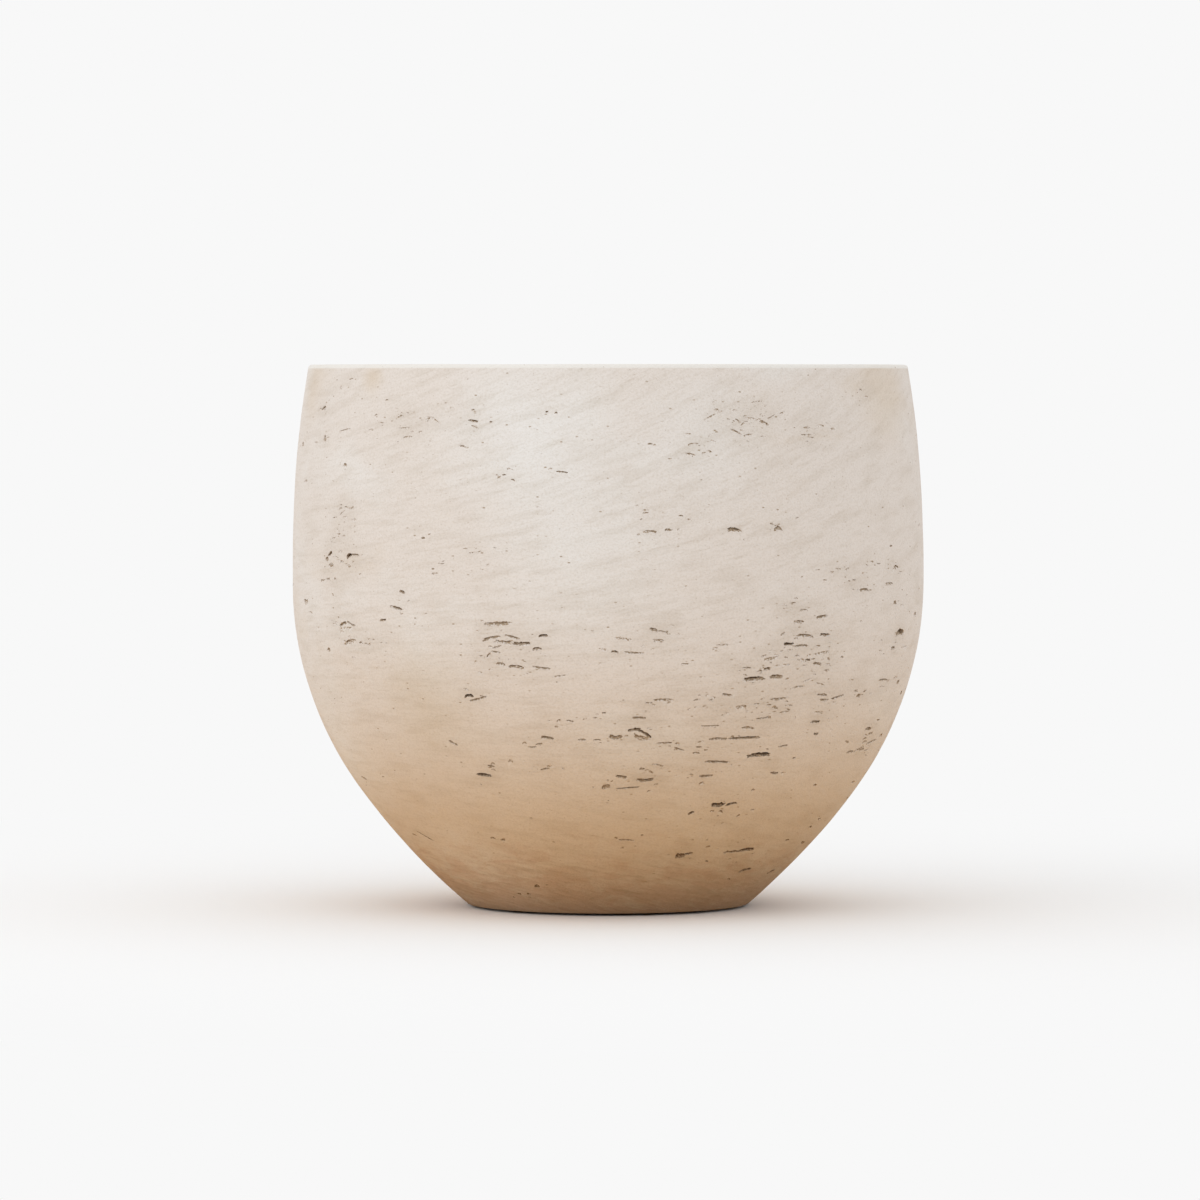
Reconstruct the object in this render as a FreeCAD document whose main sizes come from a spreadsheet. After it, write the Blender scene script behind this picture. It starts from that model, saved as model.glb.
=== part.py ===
import FreeCAD, Part
import math
import os
import Sketcher

# Round fibre-cement planter with a rubber drain plug, standing on thin foam-rubber pads.
# Millimetres, +Z up. The origin is on the planter's axis, at the surface that the pads stand on.

# Driving sizes in millimetres, leans and drafts in degrees: alias, value, what it measures.
SIZES = [
    ("belly_diameter", 390, "shell, outside, at its widest ring"),
    ("belly_height", 212, "underside up to the widest ring"),
    ("shell_height", 333, "underside up to the rim"),
    ("rim_inset", 10.2, "how far the rim stands in from the widest ring"),
    ("base_diameter", 174, "underside, out to its corner"),
    ("base_lean", 20.3, "wall at the underside, over the lean of a straight line up to the flank's top"),
    ("flank_top", 193, "height at which the wall begins to turn under"),
    ("flank_bottom", 70, "height at which the flank runs into the flatter foot"),
    ("wall_thickness", 10, "shell wall, square to its face"),
    ("floor_thickness", 14, "shell floor"),
    ("rim_edge_radius", 1.5, "both edges of the rim"),
    ("base_edge_radius", 1.2, "corner between wall and underside"),
    ("floor_corner_radius", 18, "inside corner between wall and floor"),
    ("drain_diameter", 25, "drain hole where it opens in the floor"),
    ("drain_draft", 4, "taper of the drain hole's side, narrowing downwards"),
    ("plug_clearance", 0.15, "between the plug's shank and the drain hole"),
    ("plug_head_overlap", 6, "how far the plug's head laps onto the floor"),
    ("plug_head_thickness", 4, "plug head"),
    ("plug_tip_recess", 2, "plug tip up inside the drain hole from the underside"),
    ("plug_edge_radius", 0.8, "moulded edges of the plug"),
    ("loop_width", 22, "finger loop on the plug, across"),
    ("loop_height", 21, "finger loop above the plug's head"),
    ("loop_thickness", 5, "finger loop"),
    ("loop_eye_diameter", 12, "hole through the finger loop"),
    ("pad_diameter", 22, "foot pad"),
    ("pad_thickness", 1.5, "foot pad"),
    ("pad_inset", 9, "edge of a foot pad in from the underside's corner"),
]
PAD_COUNT = 4
FIRST_PAD_ANGLE = 45
CUT_PAST = 1  # how far a cutting profile runs past the faces that it opens
NEAR = 1e-4  # places closer than this count as one

# How a sketch numbers the places on a curve, its own two axes (down from -1) and its origin.
START, END, CENTRE = range(1, 4)
LEVEL_AXIS = -1
UPRIGHT_AXIS = LEVEL_AXIS - 1
ORIGIN = (LEVEL_AXIS, START)


def make_sheet(doc):
    """Spreadsheet of the driving sizes, one aliased cell each."""
    sheet = doc.addObject("Spreadsheet::Sheet", "Sizes")
    for row, (alias, value, meaning) in enumerate(SIZES, start=1):
        sheet.set(f"A{row}", meaning)
        sheet.set(f"B{row}", str(value))
        sheet.setAlias(f"B{row}", alias)
    doc.recompute()
    return sheet


def new_body(doc, label, height_formula):
    """Body on the planter's axis, raised by a formula of the sheet's sizes."""
    body = doc.addObject("PartDesign::Body", label)
    body.Label = label
    body.setExpression("Placement.Base.z", height_formula)
    return body


def new_sketch(body, name):
    """Sketch on the body's upright plane: sketch x is the radius, sketch y is the height."""
    sketch = body.newObject("Sketcher::SketchObject", name)
    plane = next(f for f in body.Origin.OriginFeatures if f.Role == "XZ_Plane")
    sketch.AttachmentSupport = [(plane, "")]
    sketch.MapMode = "FlatFace"
    return sketch


def relate(sketch, kind, *places):
    """Adds a geometric constraint."""
    sketch.addConstraint(Sketcher.Constraint(kind, *places))


def dimension(sketch, name, formula, kind, *places):
    """Adds a dimension whose value follows a formula of the sheet's sizes."""
    value = sketch.evalExpression(formula)
    if kind == "Angle":
        value = math.radians(value.getValueAs("deg").Value)
    index = sketch.addConstraint(Sketcher.Constraint(kind, *places, value))
    sketch.renameConstraint(index, name)
    sketch.setExpression(f"Constraints.{name}", formula)


def point(x, y):
    """Point in a sketch's plane."""
    return FreeCAD.Vector(x, y, 0)


def line(sketch, start, end, construction=False):
    """Adds a straight line and returns its index."""
    return sketch.addGeometry(Part.LineSegment(start, end), construction)


def arc_about(sketch, centre, start, end):
    """Adds the arc about centre that runs counterclockwise from start to end, and returns its index."""
    circle = Part.Circle(centre, FreeCAD.Vector(0, 0, 1), (start - centre).Length)
    return sketch.addGeometry(Part.ArcOfCircle(circle, circle.parameter(start), circle.parameter(end)))


def tangent_centre(start, outward, other):
    """Centre of the circle through start and other whose outward normal at start is given."""
    chord = other - start
    return start + outward * (chord.Length ** 2 / (2 * chord.dot(outward)))


def outward_normal(lean):
    """Outward direction of a wall that leans in towards its foot by this angle, in radians."""
    return point(math.cos(lean), -math.sin(lean))


def wall_layout(sizes):
    """Where the outer face's three arcs meet, and their centres, worked out from the driving sizes.

    The upper arc is upright at the widest ring. Two arcs that share a tangent carry the wall on
    down to the underside's corner. All points at which two such arcs can meet lie on a circle
    through both ends, and the one at the height flank_bottom is used.
    """
    belly = point(sizes.belly_diameter / 2, sizes.belly_height)
    rim = point(belly.x - sizes.rim_inset, sizes.shell_height)
    corner = point(sizes.base_diameter / 2, 0)
    wall_centre = tangent_centre(belly, point(1, 0), rim)
    wall_radius = belly.x - wall_centre.x
    top_lean = math.asin((belly.y - sizes.flank_top) / wall_radius)
    flank_top = wall_centre + outward_normal(top_lean) * wall_radius

    chord = corner - flank_top
    base_lean = math.atan2(-chord.x, -chord.y) + math.radians(sizes.base_lean)
    half_turn = (base_lean - top_lean) / 2
    meeting_radius = chord.Length / (2 * math.sin(half_turn))
    across = point(chord.y, -chord.x).normalize()
    meeting_centre = (flank_top + corner) * 0.5 + across * (meeting_radius * math.cos(half_turn))
    rise = sizes.flank_bottom - meeting_centre.y
    reach = math.sqrt(meeting_radius ** 2 - rise ** 2)
    flank_bottom = point(meeting_centre.x + reach, sizes.flank_bottom)

    flank_centre = tangent_centre(flank_top, outward_normal(top_lean), flank_bottom)
    foot_centre = tangent_centre(corner, outward_normal(base_lean), flank_bottom)
    meetings = (corner, flank_bottom, flank_top, rim)
    return belly, meetings, (foot_centre, flank_centre, wall_centre)


def inner_end(centre, outer_radius, wall, height):
    """Point of the inner face's arc at a height."""
    radius = outer_radius - wall
    return point(centre.x + math.sqrt(radius ** 2 - (height - centre.y) ** 2), height)


def draw_shell_section(sketch, sizes):
    """Half section of the shell: underside, outer wall, rim, inner wall and floor."""
    belly, (corner, flank_bottom, flank_top, rim), centres = wall_layout(sizes)
    foot_centre, flank_centre, wall_centre = centres

    def inward(place, centre):
        return place + (centre - place).normalize() * sizes.wall_thickness

    inner_flank_top = inward(flank_top, wall_centre)
    inner_flank_bottom = inward(flank_bottom, flank_centre)
    inner_rim = inner_end(wall_centre, (rim - wall_centre).Length, sizes.wall_thickness, rim.y)
    floor_edge = inner_end(
        foot_centre, (corner - foot_centre).Length, sizes.wall_thickness, sizes.floor_thickness
    )
    floor_middle = point(0, sizes.floor_thickness)

    underside = line(sketch, point(0, 0), corner)
    foot = arc_about(sketch, foot_centre, corner, flank_bottom)
    flank = arc_about(sketch, flank_centre, flank_bottom, flank_top)
    wall = arc_about(sketch, wall_centre, flank_top, rim)
    rim_top = line(sketch, rim, inner_rim)
    inner_wall = arc_about(sketch, wall_centre, inner_flank_top, inner_rim)
    inner_flank = arc_about(sketch, flank_centre, inner_flank_bottom, inner_flank_top)
    inner_foot = arc_about(sketch, foot_centre, floor_edge, inner_flank_bottom)
    floor = line(sketch, floor_edge, floor_middle)
    axis = line(sketch, floor_middle, point(0, 0))
    upper_gauge = line(sketch, flank_top, inner_flank_top, construction=True)
    lower_gauge = line(sketch, flank_bottom, inner_flank_bottom, construction=True)
    lean_gauge = line(sketch, corner, foot_centre, construction=True)
    straight_gauge = line(sketch, corner, flank_top, construction=True)
    widest = sketch.addGeometry(Part.Point(belly), True)

    # The outline is closed, with the outer arcs running into each other without a kink.
    relate(sketch, "Coincident", underside, START, *ORIGIN)
    relate(sketch, "Coincident", underside, END, foot, START)
    relate(sketch, "Tangent", foot, END, flank, START)
    relate(sketch, "Tangent", flank, END, wall, START)
    relate(sketch, "Coincident", wall, END, rim_top, START)
    relate(sketch, "Coincident", rim_top, END, inner_wall, END)
    relate(sketch, "Coincident", inner_wall, START, inner_flank, END)
    relate(sketch, "Coincident", inner_flank, START, inner_foot, END)
    relate(sketch, "Coincident", inner_foot, START, floor, START)
    relate(sketch, "Coincident", floor, END, axis, START)
    relate(sketch, "Coincident", axis, END, underside, START)
    relate(sketch, "PointOnObject", axis, START, UPRIGHT_AXIS)
    for level in (underside, rim_top, floor):
        relate(sketch, "Horizontal", level)

    # Inner arcs share the outer arcs' centres, so the wall is one thickness all the way.
    for inner, outer in ((inner_wall, wall), (inner_flank, flank), (inner_foot, foot)):
        relate(sketch, "Coincident", inner, CENTRE, outer, CENTRE)
    for gauge, outer, inner in ((upper_gauge, wall, inner_wall), (lower_gauge, flank, inner_flank)):
        relate(sketch, "Coincident", gauge, START, outer, START)
        relate(sketch, "Coincident", gauge, END, inner, START)
        relate(sketch, "PointOnObject", outer, CENTRE, gauge)
    relate(sketch, "Coincident", lean_gauge, START, foot, START)
    relate(sketch, "Coincident", lean_gauge, END, foot, CENTRE)
    relate(sketch, "Coincident", straight_gauge, START, foot, START)
    relate(sketch, "Coincident", straight_gauge, END, wall, START)
    relate(sketch, "PointOnObject", widest, START, wall)
    relate(sketch, "Horizontal", widest, START, wall, CENTRE)

    dimension(sketch, "belly_radius", "Sizes.belly_diameter / 2", "DistanceX", *ORIGIN, widest, START)
    dimension(sketch, "belly_level", "Sizes.belly_height", "DistanceY", *ORIGIN, widest, START)
    rim_radius = "Sizes.belly_diameter / 2 - Sizes.rim_inset"
    dimension(sketch, "rim_radius", rim_radius, "DistanceX", *ORIGIN, wall, END)
    dimension(sketch, "rim_level", "Sizes.shell_height", "DistanceY", *ORIGIN, wall, END)
    dimension(sketch, "base_radius", "Sizes.base_diameter / 2", "DistanceX", *ORIGIN, underside, END)
    square_to_wall = "90 deg - Sizes.base_lean * 1 deg"
    dimension(sketch, "base_lean", square_to_wall, "Angle", straight_gauge, START, lean_gauge, START)
    dimension(sketch, "flank_top", "Sizes.flank_top", "DistanceY", *ORIGIN, wall, START)
    dimension(sketch, "flank_bottom", "Sizes.flank_bottom", "DistanceY", *ORIGIN, flank, START)
    dimension(sketch, "wall_thickness", "Sizes.wall_thickness", "Distance", upper_gauge)
    dimension(sketch, "floor_level", "Sizes.floor_thickness", "DistanceY", *ORIGIN, floor, START)


def draw_drain_section(sketch, sizes):
    """Half section of the tapered drain hole, run past the floor and the underside."""
    slope = math.tan(math.radians(sizes.drain_draft))
    mouth = point(sizes.drain_diameter / 2, sizes.floor_thickness)
    bottom, top = -CUT_PAST, sizes.floor_thickness + CUT_PAST
    low = point(mouth.x + (bottom - mouth.y) * slope, bottom)
    high = point(mouth.x + (top - mouth.y) * slope, top)

    lower = line(sketch, point(0, bottom), low)
    side = line(sketch, low, high)
    upper = line(sketch, high, point(0, top))
    axis = line(sketch, point(0, top), point(0, bottom))
    lip = sketch.addGeometry(Part.Point(mouth), True)

    outline = (lower, side, upper, axis)
    for edge, following in zip(outline, outline[1:] + outline[:1]):
        relate(sketch, "Coincident", edge, END, following, START)
    for level in (lower, upper):
        relate(sketch, "Horizontal", level)
    relate(sketch, "PointOnObject", axis, START, UPRIGHT_AXIS)
    relate(sketch, "PointOnObject", axis, END, UPRIGHT_AXIS)
    relate(sketch, "PointOnObject", lip, START, side)

    dimension(sketch, "mouth_radius", "Sizes.drain_diameter / 2", "DistanceX", *ORIGIN, lip, START)
    dimension(sketch, "mouth_level", "Sizes.floor_thickness", "DistanceY", *ORIGIN, lip, START)
    dimension(sketch, "draft", "90 deg - Sizes.drain_draft * 1 deg", "Angle", side)
    dimension(sketch, "past_underside", f"{CUT_PAST}", "DistanceY", axis, END, *ORIGIN)
    dimension(sketch, "past_floor", f"Sizes.floor_thickness + {CUT_PAST}", "DistanceY", *ORIGIN, axis, START)


def draw_plug_section(sketch, sizes):
    """Half section of the plug: tapered shank below the floor's level, flat head above it."""
    slope = math.tan(math.radians(sizes.drain_draft))
    shank_length = sizes.floor_thickness - sizes.plug_tip_recess
    neck = point(sizes.drain_diameter / 2 - sizes.plug_clearance, 0)
    tip = point(neck.x - shank_length * slope, -shank_length)
    head_edge = point(sizes.drain_diameter / 2 + sizes.plug_head_overlap, 0)
    head_top = point(head_edge.x, sizes.plug_head_thickness)
    corners = (point(0, tip.y), tip, neck, head_edge, head_top, point(0, head_top.y))

    edges = [line(sketch, a, b) for a, b in zip(corners, corners[1:] + corners[:1])]
    tip_face, shank, seat, rim, top, axis = edges
    for edge, following in zip(edges, edges[1:] + edges[:1]):
        relate(sketch, "Coincident", edge, END, following, START)
    for level in (tip_face, seat, top):
        relate(sketch, "Horizontal", level)
    relate(sketch, "Vertical", rim)
    relate(sketch, "PointOnObject", axis, START, UPRIGHT_AXIS)
    relate(sketch, "PointOnObject", axis, END, UPRIGHT_AXIS)
    relate(sketch, "PointOnObject", seat, START, LEVEL_AXIS)

    neck_radius = "Sizes.drain_diameter / 2 - Sizes.plug_clearance"
    head_radius = "Sizes.drain_diameter / 2 + Sizes.plug_head_overlap"
    shank_reach = "Sizes.floor_thickness - Sizes.plug_tip_recess"
    dimension(sketch, "neck_radius", neck_radius, "DistanceX", *ORIGIN, seat, START)
    dimension(sketch, "head_radius", head_radius, "DistanceX", *ORIGIN, seat, END)
    dimension(sketch, "head_thickness", "Sizes.plug_head_thickness", "DistanceY", *ORIGIN, axis, START)
    dimension(sketch, "shank_length", shank_reach, "DistanceY", axis, END, *ORIGIN)
    dimension(sketch, "draft", "90 deg - Sizes.drain_draft * 1 deg", "Angle", shank)


def draw_finger_loop(sketch, sizes):
    """Face of the finger loop: upright sides rooted in the plug's head, a round top and an eye."""
    half = sizes.loop_width / 2
    bend = point(0, sizes.plug_head_thickness + sizes.loop_height - half)
    right_root, left_root = point(half, 0), point(-half, 0)
    right_bend, left_bend = point(half, bend.y), point(-half, bend.y)

    root = line(sketch, left_root, right_root)
    right = line(sketch, right_root, right_bend)
    top = arc_about(sketch, bend, right_bend, left_bend)
    left = line(sketch, left_bend, left_root)
    eye = sketch.addGeometry(Part.Circle(bend, FreeCAD.Vector(0, 0, 1), sizes.loop_eye_diameter / 2))

    relate(sketch, "Coincident", root, END, right, START)
    relate(sketch, "Tangent", right, END, top, START)
    relate(sketch, "Tangent", top, END, left, START)
    relate(sketch, "Coincident", left, END, root, START)
    relate(sketch, "Horizontal", root)
    for side in (right, left):
        relate(sketch, "Vertical", side)
    relate(sketch, "PointOnObject", root, START, LEVEL_AXIS)
    relate(sketch, "PointOnObject", top, CENTRE, UPRIGHT_AXIS)
    relate(sketch, "Coincident", eye, CENTRE, top, CENTRE)

    dimension(sketch, "half_width", "Sizes.loop_width / 2", "Radius", top)
    bend_level = "Sizes.plug_head_thickness + Sizes.loop_height - Sizes.loop_width / 2"
    dimension(sketch, "bend_level", bend_level, "DistanceY", *ORIGIN, top, CENTRE)
    dimension(sketch, "eye_radius", "Sizes.loop_eye_diameter / 2", "Radius", eye)


def revolve(body, kind, name, sketch):
    """Full turn of a sketch about the body's upright axis, added or cut away."""
    feature = body.newObject(kind, name)
    feature.Profile = sketch
    feature.ReferenceAxis = (sketch, ["V_Axis"])
    feature.Angle = 360
    body.Document.recompute()
    return feature


def round_edges(body, name, radius_formula, wanted):
    """Fillet on each edge of the body's last feature that wanted accepts."""
    base = body.Tip
    names = [f"Edge{i}" for i, edge in enumerate(base.Shape.Edges, start=1) if wanted(edge)]
    feature = body.newObject("PartDesign::Fillet", name)
    feature.Base = (base, names)
    feature.setExpression("Radius", radius_formula)
    body.Document.recompute()
    return feature


def is_ring(edge, height):
    """True for a level circle at a height."""
    curve = edge.Curve
    if not isinstance(curve, Part.Circle) or abs(abs(curve.Axis.z) - 1) > NEAR:
        return False
    return abs(curve.Center.z - height) < NEAR


def make_shell(doc, sizes):
    """Cast shell with an even wall, a flat floor and a tapered drain hole."""
    body = new_body(doc, "planter_shell", "Sizes.pad_thickness")
    section = new_sketch(body, "shell_section")
    draw_shell_section(section, sizes)
    doc.recompute()
    revolve(body, "PartDesign::Revolution", "shell_turn", section)

    round_edges(body, "rim_edges", "Sizes.rim_edge_radius", lambda e: is_ring(e, sizes.shell_height))
    round_edges(body, "base_edge", "Sizes.base_edge_radius", lambda e: is_ring(e, 0))
    round_edges(
        body, "floor_corner", "Sizes.floor_corner_radius", lambda e: is_ring(e, sizes.floor_thickness)
    )

    drain = new_sketch(body, "drain_section")
    draw_drain_section(drain, sizes)
    doc.recompute()
    revolve(body, "PartDesign::Groove", "drain_hole", drain)
    return body


def make_plug(doc, sizes):
    """Rubber stopper: its head rests on the floor and its finger loop stands up inside."""
    body = new_body(doc, "drain_plug", "Sizes.pad_thickness + Sizes.floor_thickness")
    section = new_sketch(body, "plug_section")
    draw_plug_section(section, sizes)
    doc.recompute()
    revolve(body, "PartDesign::Revolution", "plug_turn", section)
    tip_level = sizes.plug_tip_recess - sizes.floor_thickness
    head_level = sizes.plug_head_thickness
    round_edges(
        body, "plug_edges", "Sizes.plug_edge_radius",
        lambda e: is_ring(e, tip_level) or is_ring(e, head_level),
    )

    face = new_sketch(body, "loop_face")
    draw_finger_loop(face, sizes)
    doc.recompute()
    loop = body.newObject("PartDesign::Pad", "finger_loop")
    loop.Profile = face
    loop.Midplane = True
    loop.setExpression("Length", "Sizes.loop_thickness")
    doc.recompute()

    def on_loop_face(edge):
        box = edge.BoundBox
        on_side = box.YLength < NEAR and abs(abs(box.YMin) - sizes.loop_thickness / 2) < NEAR
        return on_side and box.ZMax > head_level + NEAR

    round_edges(body, "loop_edges", "Sizes.plug_edge_radius", on_loop_face)
    return body


def make_pads(doc):
    """Thin round pads stuck to the underside, evenly spaced round its edge."""
    pads = []
    for i in range(PAD_COUNT):
        label = f"foot_pad_{i + 1}"
        pad = doc.addObject("Part::Cylinder", label)
        pad.Label = label
        pad.setExpression("Radius", "Sizes.pad_diameter / 2")
        pad.setExpression("Height", "Sizes.pad_thickness")
        angle = FIRST_PAD_ANGLE + 360 * i / PAD_COUNT
        circle = "(Sizes.base_diameter / 2 - Sizes.pad_inset - Sizes.pad_diameter / 2)"
        pad.setExpression("Placement.Base.x", f"{circle} * cos({angle} deg)")
        pad.setExpression("Placement.Base.y", f"{circle} * sin({angle} deg)")
        pads.append(pad)
    doc.recompute()
    return pads


def check(doc, parts):
    """Stops the build if an object failed, a sketch is loose or a piece isn't one valid solid."""
    failed = [o.Name for o in doc.Objects if {"Invalid", "Error"} & set(o.State)]
    if failed:
        raise RuntimeError(f"failed objects: {failed}")
    loose = [o.Name for o in doc.findObjects("Sketcher::SketchObject") if not o.FullyConstrained]
    if loose:
        raise RuntimeError(f"sketches with freedom left: {loose}")
    for part in parts:
        shape = part.Shape
        if shape.isNull() or not shape.isValid() or len(shape.Solids) != 1:
            raise RuntimeError(f"{part.Label} isn't one valid solid")


def main():
    """Builds the document and writes one STEP file for each piece."""
    doc = FreeCAD.newDocument("round_planter")
    sizes = make_sheet(doc)
    parts = [make_shell(doc, sizes), make_plug(doc, sizes), *make_pads(doc)]
    doc.recompute()
    check(doc, parts)
    os.makedirs("parts", exist_ok=True)
    for part in parts:
        part.Shape.exportStep(f"parts/{part.Label}.step")
        box = part.Shape.optimalBoundingBox()
        print(
            f"{part.Label}: {part.Shape.Volume / 1e6:.4f} litres,"
            f" height {box.ZMin:.2f} to {box.ZMax:.2f}, across {box.XLength:.2f}"
        )


main()
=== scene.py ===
import math
import random
from collections import namedtuple

import bmesh
import bpy
from bpy.props import FloatProperty, FloatVectorProperty, IntProperty, PointerProperty
from mathutils import Matrix, Vector, noise
from mathutils.bvhtree import BVHTree
from mathutils.kdtree import KDTree


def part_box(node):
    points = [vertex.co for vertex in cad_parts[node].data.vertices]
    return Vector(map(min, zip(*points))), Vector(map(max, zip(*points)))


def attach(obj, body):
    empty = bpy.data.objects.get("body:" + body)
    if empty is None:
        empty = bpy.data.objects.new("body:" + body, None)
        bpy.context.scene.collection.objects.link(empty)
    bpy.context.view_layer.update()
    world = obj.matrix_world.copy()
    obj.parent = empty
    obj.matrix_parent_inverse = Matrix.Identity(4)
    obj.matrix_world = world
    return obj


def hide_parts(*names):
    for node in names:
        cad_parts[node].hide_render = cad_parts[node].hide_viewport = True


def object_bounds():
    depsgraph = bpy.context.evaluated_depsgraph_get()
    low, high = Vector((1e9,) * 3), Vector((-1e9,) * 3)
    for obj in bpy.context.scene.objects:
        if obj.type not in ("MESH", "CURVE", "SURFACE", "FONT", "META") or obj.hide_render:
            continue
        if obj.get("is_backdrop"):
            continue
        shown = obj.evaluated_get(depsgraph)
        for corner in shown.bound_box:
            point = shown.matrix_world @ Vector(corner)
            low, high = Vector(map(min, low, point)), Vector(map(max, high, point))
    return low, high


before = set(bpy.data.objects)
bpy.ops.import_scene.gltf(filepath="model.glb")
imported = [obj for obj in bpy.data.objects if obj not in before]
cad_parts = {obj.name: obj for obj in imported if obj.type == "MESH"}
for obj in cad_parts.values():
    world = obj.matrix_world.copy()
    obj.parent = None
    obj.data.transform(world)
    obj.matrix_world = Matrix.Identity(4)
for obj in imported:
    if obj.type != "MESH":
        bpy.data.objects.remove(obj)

bl_info = {
    "name": "Round fibre-cement planter",
    "version": (1, 0, 0),
    "blender": (4, 5, 0),
    "location": "View3D > Sidebar > Planter",
    "description": "Builds the pitted, lime-washed planter, its drain plug and foot pads, and a plain stage",
    "category": "Add Mesh",
}

CAD_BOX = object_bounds()
SHELL_LOW, SHELL_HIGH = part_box("planter_shell")
PAD_NODES = sorted(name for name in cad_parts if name.startswith("foot_pad"))
UNDERSIDE = SHELL_LOW.z
RIM_TOP = SHELL_HIGH.z
BELLY_RADIUS = (SHELL_HIGH.x - SHELL_LOW.x) / 2
UP = Vector((0, 0, 1))
MM = 0.001
LIP = 1.2 * MM  # how far the wash's smooth edge reaches down inside the rim
RIM_CLEAR = 6 * MM  # band below the rim that has no pits
WASHED, RAW, PITTED = range(3)  # order of the shell's materials
PHOTO_PIXELS = 1200  # width and height of the photograph, in which the pits are placed

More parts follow.
